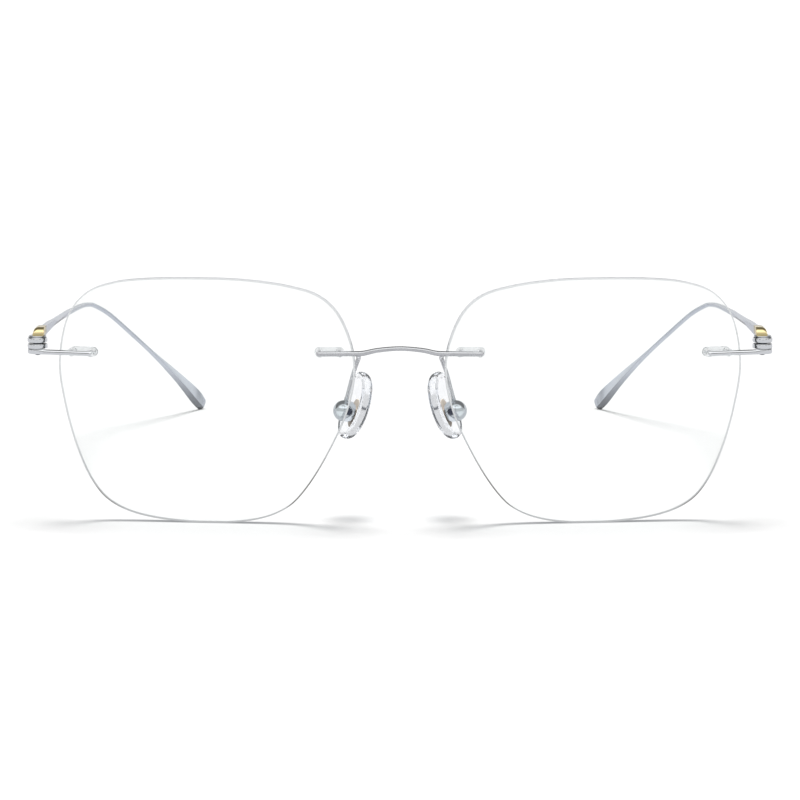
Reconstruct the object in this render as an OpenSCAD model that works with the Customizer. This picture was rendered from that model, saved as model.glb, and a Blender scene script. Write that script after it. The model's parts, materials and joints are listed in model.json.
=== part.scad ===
// Rimless spectacles, standing on a table on the lens bottoms and the temple tips.
// Two drilled lenses hang on a wire bridge and two wire endpieces. Each endpiece is
// coiled round an upright pin, which is the temple hinge. Millimetres, +Z up. The wearer
// looks along -Y, so +X is the wearer's left. The origin is on the table, under the
// middle of the bounding box.

/* [Lenses] */
// Width of one lens at its widest
lens_w = 56.9; // [55:0.1:58]
// Height of one lens
lens_h = 47.3; // [46:0.1:49]
// Distance from the middle of the bridge to the middle of a lens
lens_cx = 36.85; // [36.5:0.05:38]
// Thickness of the lenses
lens_t = 1.9; // [1.6:0.1:2.2]
// Radius of the front surface of the lenses
lens_r = 160; // [140:1:200]
// Turn of each lens back around the face, in degrees
wrap = 5; // [4:0.5:6]
// Depth of the small flat ground on the bottom edge of a lens
foot_cut = 0.06; // [0.04:0.01:0.1]

/* [Drilled joints] */
// Radius of the drilled holes
hole_r = 0.8; // [0.75:0.01:0.9]
// Distance between the two holes of a pair
hole_gap = 3.8; // [3.6:0.1:4.2]
// Middle of the nose-side pair, from the middle of the lens
nasal_u = -23.5; // [-23.9:0.1:-23.2]
// Middle of the temple-side pair, from the middle of the lens
temporal_u = 24.4; // [23.8:0.1:24.6]
// Height of the nose-side holes above the middle of the lens
nasal_v = 9.0; // [8.5:0.1:9.5]
// Height of the temple-side holes above the middle of the lens
temporal_v = 8.5; // [8:0.1:9]
// Radius of the wire pins
pin_r = 0.48; // [0.4:0.01:0.5]
// Height of the clear plate behind the lens
plate_h = 1.8; // [1.7:0.1:2.2]
// Thickness of that plate
plate_t = 0.7; // [0.5:0.05:0.9]

/* [Bridge] */
// Radius of the bridge wire at the lenses
bridge_r = 0.5; // [0.48:0.01:0.6]
// Rise of the bridge in the middle
bridge_rise = 1.1; // [0.6:0.1:1.6]
// Distance by which the bridge bows forward in the middle
bridge_bow = 0.6; // [0.3:0.1:1]

/* [Endpieces] */
// Radius of the endpiece wire
wire_r = 0.5; // [0.48:0.01:0.54]
// Distance from the temple-side holes to the hinge pin
coil_reach = 9; // [8.6:0.1:9.6]
// Radius of the coil, from the pin's middle to the wire's middle
coil_r = 1.38; // [1.36:0.01:1.4]

/* [Hinges] */
// Radius of the hinge pin
hinge_pin_r = 0.74; // [0.7:0.01:0.76]
// Running clearance around the hinge pin
hinge_play = 0.06; // [0.03:0.01:0.08]
// Length of the gold end block, along the temple
block_l = 4.2; // [4:0.1:4.4]
// Width of the gold end block
block_w = 2.15; // [2.1:0.05:2.3]
// Height of the gold end block
block_h = 1.5; // [1.45:0.05:1.8]

/* [Temples] */
// Distance from the hinge to the bend behind the ear
temple_reach = 92; // [88:1:96]
// Half the distance between the temple tips
tip_x = 47.9; // [45:0.1:52]
// Half the width of the flattened temple tip
tip_half = 1.62; // [1.4:0.02:1.8]
// Half the thickness of the temple wire at the bend
bend_half = 0.5; // [0.45:0.01:0.6]

/* [Nose pads] */
// Length of a nose pad
pad_l = 13.4; // [12.8:0.1:13.8]
// Width of a nose pad
pad_w = 8; // [7.6:0.1:8.4]
// Thickness of a nose pad
pad_t = 2.8; // [2.6:0.1:3]
// Angle by which the front edges of the pads come together, in degrees
pad_splay = 30; // [25:1:33]
// Angle by which the tops of the pads come together, in degrees
pad_tilt = 19; // [14:1:20]
// Radius of the cup that carries the pad
cup_r = 2.05; // [1.95:0.01:2.1]
// Depth of the cup's straight part
cup_l = 1.5; // [1.4:0.1:1.6]
// Radius of the pad screw
screw_r = 0.4; // [0.36:0.01:0.42]

/* [Hidden] */
$fn = 48;

right = -1;
left = 1;
fit = 0.02;          // gap between pieces that are bonded or pushed together
cut = 1;             // how far a cutting shape runs past the surface it cuts
ring_sides = 14;     // corners of a swept wire's section
silver = [0.80, 0.82, 0.85];
satin = [0.70, 0.71, 0.73];
gold = [0.86, 0.76, 0.46];
clear = [0.90, 0.94, 0.97, 0.45];
tan = [0.80, 0.74, 0.66];
dark = [0.30, 0.33, 0.38];

// Outline of the left lens for a 56.9 by 47.3 lens: nose side at -X, seen from the front
lens_knots = [
    [0.3, 23.1], [11, 22.9], [18.2, 22], [23.6, 19.8], [27.3, 14.8], [28.8, 6.6],
    [27.9, -1], [25.8, -9.2], [22.8, -16.3], [18.8, -20.7], [12, -23.2], [1, -24.2],
    [-8.3, -23.6], [-14.4, -21.5], [-18.5, -17.7], [-22.9, -10.7], [-26.9, -1.7],
    [-28.1, 7.1], [-25.8, 15], [-21.7, 19.6], [-15.5, 21.7], [-7.7, 22.8]
];
lens_scale = [lens_w / 56.9, lens_h / 47.3];
lens_cz = 24.2 * lens_scale[1] - foot_cut;

wire_off = wire_r + 0.1;        // wire's middle in front of the lens
bridge_off = bridge_r + 0.1;
plate_gap = 0.12;               // plate clears the curved back of the lens
hinge = lens_point(temporal_u, temporal_v, coil_r - wire_off, coil_reach);
wire_z = hinge[2];
turn_z = [0, 0.95, 2.17];       // the coil's turns: two close ones, a slit, and a third
turn_r = wire_r + 0.03;         // the wire swells a little where it is bent
coil_top = wire_z + turn_z[2] + turn_r;
washer_z = coil_top + 0.05;
washer_t = 0.25;
block_z = washer_z + washer_t + 0.03;
block_y = hinge[1] - 1;         // front face of the end block
block_x = hinge[0] - 0.25;      // middle of the end block, a little inside the pin
blade_y = block_y + block_l + fit;

cup_rim = 1.1;                  // cup's rim, out from the middle of the pad
core_half_w = 1.5;              // half sizes of the plate moulded into the pad
core_half_l = 2.9;
core_in = -0.24;                // nose side of that plate, from the middle of the pad
cup_hang = 1.5;                 // cup's middle below the middle of the pad
screw_out = cup_rim + cup_l - 0.1;
floor_out = 0.3;                // floor of the hollow in the back of the pad
pad_pos = [8.35, 10, lens_cz - 2.75];
dome = pad_point(cup_rim + cup_l, 0, -cup_hang);

// Temple centre line and half sizes, as [x, y, z, half thickness, half height]
bend_y = hinge[1] + temple_reach;
temple_knots = [
    [block_x + 0.35, blade_y, block_z - 0.2, 0.5, 1.25],
    [block_x + 0.75, blade_y + 10, block_z - 0.75, 0.52, 1.0],
    [block_x + 1.25, blade_y + 25, block_z - 1.5, 0.55, 0.72],
    [block_x + 1.3, blade_y + 50, block_z - 2.75, 0.55, 0.62],
    [block_x + 1.3, bend_y - 14, block_z - 4.4, 0.52, 0.54],
    [block_x + 1.15, bend_y, block_z - 5.8, bend_half, bend_half],
    [tip_x + 21.6, bend_y + 5, 28.9, bend_half, bend_half],
    [tip_x + 18.9, bend_y + 9.8, 26.3, bend_half, bend_half],
    [tip_x + 14.5, bend_y + 15.6, 21, bend_half, bend_half],
    [tip_x + 9.9, bend_y + 21.7, 15.2, bend_half + 0.02, bend_half + 0.12],
    [tip_x + 5.3, bend_y + 28, 9, bend_half + 0.08, tip_half * 0.68],
    [tip_x + 1.7, bend_y + 33.2, 3.58, bend_half + 0.12, tip_half],
    [tip_x + 0.2, bend_y + 35.2, 1.44, bend_half + 0.1, tip_half * 0.94]
];
tip_round = 1.4;                // length of the rounded end of the temple tip

bridge_y = lens_point(nasal_u, nasal_v, -bridge_off)[1] - bridge_bow;
bridge_z = lens_cz + nasal_v;
bridge_flat = bridge_r * 0.9;   // the bridge is a little thinner in the middle
// Bridge centre line and half sizes, from the left end to the middle
bridge_knots = [
    bridge_point(hole_gap / 2 + 0.65), bridge_point(0), bridge_point(-3.2),
    [7.1, bridge_y + 0.5, bridge_z + 0.1, bridge_r, bridge_r],
    [4.2, bridge_y + 0.12, bridge_z + bridge_rise * 0.68, bridge_r, bridge_flat],
    [0, bridge_y, bridge_z + bridge_rise, bridge_r, bridge_flat]
];
// Pad arm centre line and half sizes, from the bridge down to the cup
arm_knots = [
    [7.95, bridge_y + 0.62, bridge_z - 0.25, 0.48, 0.48],
    [7.86, 1.4, bridge_z - 1.1, 0.44, 0.44],
    [8.25, 3.15, bridge_z - 2.4, 0.42, 0.42],
    [9.1, 5.2, bridge_z - 5.1, 0.42, 0.42],
    [dome[0] - 0.5, dome[1] - 0.1, dome[2] + cup_r * 0.95, 0.4, 0.4]
];

temple_curve = open_curve(temple_knots, 6);
mid_y = (bridge_y - bridge_r + tip_end(temple_curve)[1] + tip_round * 0.62) / 2;

// ---- curves -------------------------------------------------------------------------

// Point at t, from 0 to 1, on the smooth curve from b to c with outer neighbours a and d
function smooth(a, b, c, d, t) =
    0.5 * (2 * b + (c - a) * t + (2 * a - 5 * b + 4 * c - d) * t * t
    + (3 * b - a - 3 * c + d) * t * t * t);

function closed_curve(knots, steps) =
    let (n = len(knots))
    [for (i = [0:n - 1], s = [0:steps - 1])
        smooth(knots[(i + n - 1) % n], knots[i], knots[(i + 1) % n], knots[(i + 2) % n],
            s / steps)];

function open_curve(knots, steps) =
    let (n = len(knots) - 1)
    concat([for (i = [0:n - 1], s = [0:steps - 1])
        smooth(knots[max(i - 1, 0)], knots[i], knots[i + 1], knots[min(i + 2, n)],
            s / steps)], [knots[n]]);

// Closed outline of an oval, a little squarer than an ellipse
function oval(half_w, half_l, count = 36, square = 2.3) =
    [for (i = [0:count - 1]) let (a = 360 * i / count)
        [half_w * signed_power(cos(a), 2 / square),
         half_l * signed_power(sin(a), 2 / square)]];

function signed_power(x, p) = sign(x) * pow(abs(x), p);

function unit(v) = v / norm(v);

function xyz(knot) = [knot[0], knot[1], knot[2]];

// Direction of a curve at its station i
function heading(curve, i) =
    unit(xyz(curve[min(i + 1, len(curve) - 1)]) - xyz(curve[max(i - 1, 0)]));

function tip_end(curve) = xyz(curve[len(curve) - 1]);

// Stations that close the end of a swept wire with a round nose of the given length
function round_nose(curve, length) =
    let (last = len(curve) - 1, dir = heading(curve, last), k = curve[last])
    [for (a = [15:15:75]) let (p = xyz(k) + dir * length * sin(a))
        [p[0], p[1], p[2], k[3] * cos(a), k[4] * cos(a)]];

// Section of a swept wire at station i
function ring(curve, i) =
    let (dir = heading(curve, i), side = unit(cross(dir, [0, 0, 1])), up = cross(side, dir))
    [for (k = [0:ring_sides - 1]) let (a = 360 * k / ring_sides)
        xyz(curve[i]) + curve[i][3] * cos(a) * side + curve[i][4] * sin(a) * up];

// ---- places on the left lens --------------------------------------------------------

// World position of a point by the front of the left lens: u and v across and up the
// lens, back through it, and along its surface towards the temple
function lens_point(u, v, back, along = 0) =
    let (a = wrap + asin(u / lens_r), lean = lens_r - sqrt(lens_r * lens_r - v * v))
    [lens_cx, 0, lens_cz + v] + lens_r * [-sin(wrap), cos(wrap), 0]
    + (back + lean - lens_r) * [-sin(a), cos(a), 0] + along * [cos(a), sin(a), 0];

// Station of the bridge, along the nose side of the left lens
function bridge_point(along) =
    concat(lens_point(nasal_u, nasal_v, -bridge_off, along), [bridge_r, bridge_r]);

// Puts things on the front of the left lens, +Y running back through it
module at_lens(u, v) {
    translate(lens_point(u, v, 0)) rotate(wrap + asin(u / lens_r)) children();
}

// Puts things on the left nose pad, +X running away from the nose
module at_pad() {
    translate(pad_pos) rotate([0, -pad_tilt, -pad_splay]) children();
}

// World position of a point by the left pad: away from the nose, back, and up the pad
function pad_point(out, back, up) =
    let (x = out * cos(pad_tilt) - up * sin(pad_tilt))
    pad_pos + [x * cos(pad_splay) + back * sin(pad_splay),
        back * cos(pad_splay) - x * sin(pad_splay),
        out * sin(pad_tilt) + up * cos(pad_tilt)];

// Puts things on the middle line of the pad's cup
module at_cup() {
    at_pad() translate([0, 0, -cup_hang]) children();
}

// Moves the finished model to its origin, and mirrors a left piece to the right
module placed(side = left) {
    translate([0, -mid_y, 0]) mirror([side == right ? 1 : 0, 0, 0]) children();
}

// ---- shared shapes ------------------------------------------------------------------

// Wire with an elliptical section, swept along a curve of [x, y, z, half, half height]
module sweep(curve) {
    last = len(curve) - 1;
    points = [for (i = [0:last]) each ring(curve, i)];
    walls = [for (i = [0:last - 1], k = [0:ring_sides - 1])
        let (a = i * ring_sides + k, b = i * ring_sides + (k + 1) % ring_sides)
        each [[a, b, b + ring_sides], [a, b + ring_sides, a + ring_sides]]];
    start = [for (k = [ring_sides - 1:-1:0]) k];
    end = [for (k = [0:ring_sides - 1]) last * ring_sides + k];
    polyhedron(points, concat([start], walls, [end]), convexity = 6);
}

// Cylinder along +Y from y0 to y1
module rod_y(radius, y0, y1) {
    translate([0, y0, 0]) rotate([-90, 0, 0]) cylinder(r = radius, h = y1 - y0);
}

// Children at both holes of a pair
module at_holes() {
    for (s = [-1, 1]) translate([s * hole_gap / 2, 0, 0]) children();
}

// Slab with round ends behind the lens, from y0 to y1
module stadium_y(length, height, y0, y1) {
    straight = length - height;
    translate([-straight / 2, y0, -height / 2]) cube([straight, y1 - y0, height]);
    for (s = [-1, 1]) translate([s * straight / 2, 0, 0]) rod_y(height / 2, y0, y1);
}

// Slab across the pad's own axes: outline in its plane, from out0 to out1
module pad_slab(outline, out0, out1) {
    translate([out0, 0, 0]) rotate([90, 0, 90]) linear_extrude(out1 - out0)
        polygon(outline);
}

// ---- lenses and what holds them -----------------------------------------------------

module lens(side) {
    outline = [for (p = closed_curve(lens_knots, 5))
        [p[0] * lens_scale[0], p[1] * lens_scale[1]]];
    color(clear) placed(side) difference() {
        translate([lens_cx, 0, lens_cz]) rotate(wrap) difference() {
            intersection() {
                translate([0, lens_r, 0]) sphere(lens_r, $fn = 360);
                translate([0, 12, 0]) rotate([90, 0, 0]) linear_extrude(14)
                    intersection() {
                        polygon(outline);
                        translate([-lens_w, -lens_cz]) square([2 * lens_w, 2 * lens_w]);
                    }
            }
            translate([0, lens_r, 0]) sphere(lens_r - lens_t, $fn = 360);
        }
        at_lens(nasal_u, nasal_v) at_holes() rod_y(hole_r, -cut, lens_t + cut);
        at_lens(temporal_u, temporal_v) at_holes() rod_y(hole_r, -cut, lens_t + cut);
    }
}

// Clear double plug: two tubes in the lens on a plate behind it
module bushing(side, u, v) {
    plate = lens_t + plate_gap;
    color(clear) placed(side) at_lens(u, v) difference() {
        union() {
            stadium_y(hole_gap + plate_h, plate_h, plate, plate + plate_t);
            at_holes() rod_y(hole_r - fit, 0.1, plate + 0.1);
        }
        at_holes() rod_y(pin_r + fit, -cut, plate + plate_t + cut);
    }
}

// Two wire pins, from the wire in front of the lens to the back of the plate
module pins(front) {
    at_holes() rod_y(pin_r, -front, lens_t + plate_gap + plate_t);
}

module bridge() {
    half = open_curve(bridge_knots, 5);
    mirrored = [for (i = [len(half) - 2:-1:0])
        [-half[i][0], half[i][1], half[i][2], half[i][3], half[i][4]]];
    color(satin) placed() {
        sweep(concat(half, mirrored));
        for (s = [0, 1]) mirror([s, 0, 0])
            at_lens(nasal_u, nasal_v) pins(bridge_off);
    }
}

// ---- endpieces and hinges -----------------------------------------------------------

// All turns of the coil: round outside, with a straight bore for the pin
module coil_turns() {
    bore = hinge_pin_r + hinge_play;
    rotate_extrude() difference() {
        union() for (z = turn_z) {
            translate([coil_r, z]) circle(turn_r);
            translate([bore, z - turn_r * 0.85]) square([coil_r - bore, turn_r * 1.7]);
        }
        translate([-cut, -cut]) square([bore + cut, turn_z[2] + 2 * cut]);
    }
}

module endpiece(side) {
    slit_back = 150;     // angle of the wire's climb between the second and third turns
    color(silver) placed(side) {
        difference() {
            at_lens(temporal_u, temporal_v) translate([-hole_gap / 2 - 0.65, -wire_off, 0])
                rotate([0, 90, 0]) cylinder(r = wire_r, h = coil_reach + hole_gap / 2 + 0.65);
            translate([hinge[0], hinge[1], wire_z - wire_r - cut])
                cylinder(r = coil_r, h = 2 * wire_r + 2 * cut);
        }
        at_lens(temporal_u, temporal_v) pins(wire_off);
        translate(hinge) {
            coil_turns();
            rotate(-60) rotate_extrude(angle = slit_back)
                translate([coil_r - 0.1, turn_z[1]]) square([wire_r * 0.8, turn_z[2] - turn_z[1]]);
        }
    }
}

module hinge_pin(side) {
    below = 0.3;         // the pin's end shows under the coil
    color(dark) placed(side) translate([hinge[0], hinge[1], 0]) {
        translate([0, 0, wire_z - wire_r - 0.05])
            cylinder(r = hinge_pin_r, h = block_z + block_h - 0.4 - wire_z + wire_r + 0.05);
        translate([0, 0, wire_z - wire_r - 0.05 - below])
            cylinder(r1 = hinge_pin_r * 0.5, r2 = hinge_pin_r * 0.75, h = below);
    }
}

module hinge_washer(side) {
    color(silver) placed(side) translate([hinge[0], hinge[1], washer_z]) difference() {
        cylinder(r = 1.75, h = washer_t);
        translate([0, 0, -cut]) cylinder(r = hinge_pin_r + fit, h = washer_t + 2 * cut);
    }
}

tenon = [0.6, 1.2, 0.8];        // the temple's end, let into the block

module hinge_block(side) {
    top_round = 1.1;     // radius of the upper outer edge
    color(gold) placed(side) difference() {
        translate([block_x - block_w / 2, block_y, block_z]) intersection() {
            cube([block_w, block_l, block_h]);
            union() {
                cube([block_w - top_round, block_l, block_h]);
                cube([block_w, block_l, block_h - top_round]);
                translate([block_w - top_round, 0, block_h - top_round])
                    rod_y(top_round, 0, block_l);
            }
        }
        translate([hinge[0], hinge[1], block_z - cut])
            cylinder(r = hinge_pin_r + fit, h = block_h - 0.4 + fit + cut);
        translate([temple_knots[0][0] - tenon[0] / 2 - fit, blade_y - tenon[1] - 2 * fit,
            block_z + 0.2 - fit])
            cube([tenon[0] + 2 * fit, tenon[1] + cut, tenon[2] + 2 * fit]);
    }
}

module temple(side) {
    color(silver) placed(side) {
        sweep(concat(temple_curve, round_nose(temple_curve, tip_round)));
        translate([temple_knots[0][0] - tenon[0] / 2, blade_y - tenon[1], block_z + 0.2])
            cube([tenon[0], tenon[1] + 0.6, tenon[2]]);
    }
}

// ---- nose pads ----------------------------------------------------------------------

module pad_arm(side) {
    color(satin) placed(side) sweep(open_curve(arm_knots, 4));
}

// Half section of a round-ended cup of the given radius, from its rim outwards
module dome_profile(radius, rim) {
    translate([0, rim]) square([radius, cup_rim + cup_l - rim]);
    translate([0, cup_rim + cup_l]) intersection() {
        circle(radius);
        square(radius);
    }
}

// Round cup, closed away from the nose, with a cross hole for the screw
module pad_cup(side) {
    wall = 0.5;
    color(silver) placed(side) at_cup() difference() {
        rotate([0, 90, 0]) rotate_extrude() difference() {
            dome_profile(cup_r, cup_rim);
            dome_profile(cup_r - wall, cup_rim - cut);
        }
        translate([screw_out, 0, 0]) {
            rod_y(screw_r + fit, -3, 3);
            rod_y(screw_r + 0.28, -3, -cup_r + 0.3);
        }
    }
}

module pad_screw(side) {
    color(dark) placed(side) at_cup() translate([screw_out, 0, 0]) difference() {
        union() {
            rod_y(screw_r, -cup_r + 0.2, cup_r - 0.1);
            rod_y(screw_r + 0.24, -cup_r - 0.05, -cup_r + 0.28);
        }
        translate([-1, -cup_r - cut, -0.08]) cube([2, cut + 0.08, 0.16]);
    }
}

// Plate moulded into the pad, with a tongue that the screw passes through
module pad_core(side) {
    tongue_t = 1.5;
    tongue_r = 0.85;
    color(tan) placed(side) at_cup() difference() {
        union() {
            pad_slab(oval(core_half_w, core_half_l), core_in, floor_out - fit);
            translate([0, -tongue_t / 2, -tongue_r])
                cube([screw_out, tongue_t, 2 * tongue_r]);
            translate([screw_out, 0, 0]) rod_y(tongue_r, -tongue_t / 2, tongue_t / 2);
        }
        translate([screw_out, 0, 0]) rod_y(screw_r + 0.05, -cut, cut);
    }
}

// Soft clear pad: crowned towards the nose, hollow behind, where the core sits
module nose_pad(side) {
    // how far out each layer lies, and how much smaller than the full outline it is
    layers = [[-1, 2.2], [-0.78, 1.1], [-0.4, 0.3], [0, 0], [0.6, 0.1], [0.95, 0.6]];
    half = pad_t / 2;
    skin = 0.05;
    color(clear) placed(side) at_pad() difference() {
        hull() for (l = layers)
            pad_slab(oval(pad_w / 2 - l[1], pad_l / 2 - l[1], 32), l[0] * half,
                l[0] * half + skin);
        pad_slab(oval(pad_w / 2 - 1.15, pad_l / 2 - 1.3), floor_out, half + cut);
        translate([0, 0, -cup_hang])
            pad_slab(oval(core_half_w + fit, core_half_l + fit), core_in - fit, half);
    }
}

// ---- parts --------------------------------------------------------------------------

lens(right);  // lens_right
lens(left);  // lens_left
bridge();
endpiece(right);  // endpiece_right
endpiece(left);  // endpiece_left
bushing(right, nasal_u, nasal_v);  // nasal_bushing_right
bushing(left, nasal_u, nasal_v);  // nasal_bushing_left
bushing(right, temporal_u, temporal_v);  // temporal_bushing_right
bushing(left, temporal_u, temporal_v);  // temporal_bushing_left
pad_arm(right);  // pad_arm_right
pad_arm(left);  // pad_arm_left
pad_cup(right);  // pad_cup_right
pad_cup(left);  // pad_cup_left
pad_screw(right);  // pad_screw_right
pad_screw(left);  // pad_screw_left
pad_core(right);  // pad_core_right
pad_core(left);  // pad_core_left
nose_pad(right);  // nose_pad_right
nose_pad(left);  // nose_pad_left
hinge_pin(right);  // hinge_pin_right
hinge_pin(left);  // hinge_pin_left
hinge_washer(right);  // hinge_washer_right
hinge_washer(left);  // hinge_washer_left
hinge_block(right);  // hinge_block_right
hinge_block(left);  // hinge_block_left
temple(right);  // temple_right
temple(left);  // temple_left
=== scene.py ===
"""Rimless glasses on a white table: drilled lenses, wire bridge and temples, coil hinges."""

import json
import math

import bmesh
import bpy
import numpy as np
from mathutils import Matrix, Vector
from mathutils.geometry import delaunay_2d_cdt


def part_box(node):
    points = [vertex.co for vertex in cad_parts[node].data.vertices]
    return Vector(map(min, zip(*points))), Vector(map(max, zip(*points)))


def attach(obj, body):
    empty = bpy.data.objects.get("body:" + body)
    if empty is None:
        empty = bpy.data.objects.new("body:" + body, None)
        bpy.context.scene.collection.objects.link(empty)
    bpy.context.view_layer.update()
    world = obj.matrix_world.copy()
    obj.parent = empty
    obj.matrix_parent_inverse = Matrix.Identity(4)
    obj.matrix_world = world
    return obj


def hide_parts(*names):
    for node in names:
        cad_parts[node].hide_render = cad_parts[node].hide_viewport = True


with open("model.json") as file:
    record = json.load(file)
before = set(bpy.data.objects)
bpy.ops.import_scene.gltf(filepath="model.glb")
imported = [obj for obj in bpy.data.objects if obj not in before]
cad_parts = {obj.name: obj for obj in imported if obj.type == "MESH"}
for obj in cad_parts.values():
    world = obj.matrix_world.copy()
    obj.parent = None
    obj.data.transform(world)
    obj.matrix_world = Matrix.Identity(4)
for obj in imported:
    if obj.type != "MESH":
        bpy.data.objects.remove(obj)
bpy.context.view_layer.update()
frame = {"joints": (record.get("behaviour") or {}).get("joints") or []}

MM = 0.001
UP = np.array([0.0, 0.0, 1.0])
SIDES = {"left": 1, "right": -1}
joints = {j["name"]: j for j in frame["joints"]}

# ---- the object's own dimensions, in millimetres -----------------------------------------

FIT = 0.02            # gap between pieces that fit into each other
LENS_CX = 36.85       # middle of the left lens
LENS_CZ = 24.14
LENS_T = 1.9
LENS_R = 160.0        # radius of the front surface
LENS_BEVEL = 0.28
WRAP = math.radians(5)
HOLE_R = 0.8
HOLE_GAP = 3.8
NASAL = (-23.5, 9.0)  # middle of each pair of holes, from the middle of the lens
TEMPORAL = (24.4, 8.5)
PIN_R = 0.48
PLATE_H = 1.8         # clear plate behind the lens
PLATE_T = 0.7
PLATE_Y = LENS_T + 0.12
WIRE_R = 0.5
WIRE_OFF = 0.6        # wire's middle in front of the lens
WIRE_PAST = 0.34      # how far a wire goes on past its last pin
COIL_R = 1.38
COIL_REACH = 9.0      # from the middle of the outer holes to the hinge
COIL_WIRE = 0.52      # half the thickness of the wire in the coil
COIL_HALF = 0.475     # half its height there
COIL_TOP_HALF = 0.53  # and in the top turn
COIL_PITCH, COIL_TOP = 0.97, 2.16   # height of the second and the top turn
HINGE_PIN_R = 0.74
PIN_IN_BLOCK = 0.75   # how far the hinge pin reaches up into the block
PAD_POS = np.array([8.35, 10.0, LENS_CZ - 2.75])
PAD_SPLAY = math.radians(30)
PAD_TILT = math.radians(19)
PAD_W, PAD_L = 8.0, 13.4
PAD_BOW = 0.010       # how far the pad's ends bend outwards, by their height squared
CUP_R, CUP_L, CUP_RIM, CUP_HANG = 2.05, 1.5, 1.1, 1.5
CUP_WALL = 0.5
SCREW_OUT = CUP_RIM + CUP_L - 0.1
SCREW_R = 0.4
SCREW_HEAD_R = 0.64
CORE_W, CORE_L = 3.0, 5.8

# Outline of the left lens, nose side at -X, seen from the front
LENS_KNOTS = [
    (0.3, 23.1), (11, 22.9), (18.2, 22), (23.6, 19.8), (27.3, 14.8), (28.8, 6.6),
    (27.9, -1), (25.8, -9.2), (22.8, -16.3), (18.8, -20.7), (12, -23.2), (1, -24.2),
    (-8.3, -23.6), (-14.4, -21.5), (-18.5, -17.7), (-22.9, -10.7), (-26.9, -1.7),
    (-28.1, 7.1), (-25.8, 15), (-21.7, 19.6), (-15.5, 21.7), (-7.7, 22.8),
]

# ---- curves ------------------------------------------------------------------------------


def smooth(a, b, c, d, t):
    """Point at t, from 0 to 1, on the smooth curve from b to c."""
    return 0.5 * (2 * b + (c - a) * t + (2 * a - 5 * b + 4 * c - d) * t * t
                  + (3 * b - a - 3 * c + d) * t ** 3)


def closed_curve(knots, steps):
    """Smooth closed curve through the knots."""
    k = np.array(knots, float)
    n = len(k)
    return np.array([
        smooth(k[i - 1], k[i], k[(i + 1) % n], k[(i + 2) % n], s / steps)
        for i in range(n) for s in range(steps)
    ])


def open_curve(knots, steps):
    """Smooth curve from the first knot to the last."""
    k = np.array(knots, float)
    n = len(k) - 1
    points = [
        smooth(k[max(i - 1, 0)], k[i], k[i + 1], k[min(i + 2, n)], s / steps)
        for i in range(n) for s in range(steps)
    ]
    return np.array(points + [k[n]])


def unit(v):
    return v / np.linalg.norm(v)


def signed_power(x, p):
    return math.copysign(abs(x) ** p, x)


def oval(half_w, half_l, count, square=2.3):
    """Closed outline of an oval; square is 2 for an ellipse and more for a squarer one."""
    angles = [2 * math.pi * i / count for i in range(count)]
    return [(half_w * signed_power(math.cos(a), 2 / square),
             half_l * signed_power(math.sin(a), 2 / square)) for a in angles]


# ---- places on the left lens and the left pad ----------------------------------------------


def lens_point(u, v, back, along=0.0):
    """World point by the front of the left lens, before the shift to the origin."""
    a = WRAP + math.asin(u / LENS_R)
    lean = LENS_R - math.sqrt(LENS_R ** 2 - v ** 2)
    through = np.array([-math.sin(a), math.cos(a), 0])
    across = np.array([math.cos(a), math.sin(a), 0])
    centre = np.array([LENS_CX - LENS_R * math.sin(WRAP), LENS_R * math.cos(WRAP),
                       LENS_CZ + v])
    return centre + (back + lean - LENS_R) * through + along * across


HINGE = lens_point(*TEMPORAL, COIL_R - WIRE_OFF, COIL_REACH)
SHIFT = joints["left_temple_fold"]["pos_m"][1] / MM - HINGE[1]


def lens_axes(u, v):
    """Origin and axes (along, back, up) at a pair of holes on the left lens."""
    a = WRAP + math.asin(u / LENS_R)
    axes = np.array([[math.cos(a), math.sin(a), 0], [-math.sin(a), math.cos(a), 0],
                     [0, 0, 1]])
    return lens_point(u, v, 0), axes


def pad_axes(out=0.0, back=0.0, up=0.0):
    """Origin and axes (out, back, up) of the left pad, moved by a distance along each."""
    ct, st = math.cos(PAD_TILT), math.sin(PAD_TILT)
    cs, ss = math.cos(PAD_SPLAY), math.sin(PAD_SPLAY)
    axes = np.array([[ct * cs, -ct * ss, st], [ss, cs, 0], [-st * cs, st * ss, ct]])
    return PAD_POS + np.array([out, back, up]) @ axes, axes


# ---- mesh helpers --------------------------------------------------------------------------


class Shape:
    """Vertices and faces in millimetres, gathered part by part."""

    def __init__(self):
        self.verts, self.faces, self.slots = [], [], []

    def add(self, verts, faces, slot=0):
        base = len(self.verts)
        self.verts += [np.array(v, float) for v in verts]
        self.faces += [[base + i for i in f] for f in faces]
        self.slots += [slot] * len(faces)
        return self

    def placed(self, origin, axes):
        """The same shape with its own x, y, z laid along axes from origin."""
        self.verts = [origin + v @ axes for v in self.verts]
        return self


def loft(loops, ends=True, ring=False):
    """Faces between equal loops of points, in order. Returns verts and faces.

    Its ends are closed, left open, or joined to each other in a ring."""
    n = len(loops[0])
    verts = [p for loop in loops for p in loop]
    faces = []
    count = len(loops)
    for i in range(count if ring else count - 1):
        a, b = i * n, ((i + 1) % count) * n
        for k in range(n):
            m = (k + 1) % n
            faces.append([a + k, a + m, b + m, b + k])
    if ends and not ring:
        faces.append(list(range(n - 1, -1, -1)))
        faces.append([(count - 1) * n + k for k in range(n)])
    return verts, faces


def lathe(profile, count=64, ring=False):
    """Turns (radius, height) points about z."""
    loops = []
    for r, z in profile:
        loops.append([(r * math.cos(t), r * math.sin(t), z)
                      for t in (2 * math.pi * k / count for k in range(count))])
    return loft(loops, ring=ring)


def arc(cx, cy, r, start, end, steps):
    """Points on a circle, angles in degrees."""
    return [(cx + r * math.cos(math.radians(start + (end - start) * i / steps)),
             cy + r * math.sin(math.radians(start + (end - start) * i / steps)))
            for i in range(steps + 1)]


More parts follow.
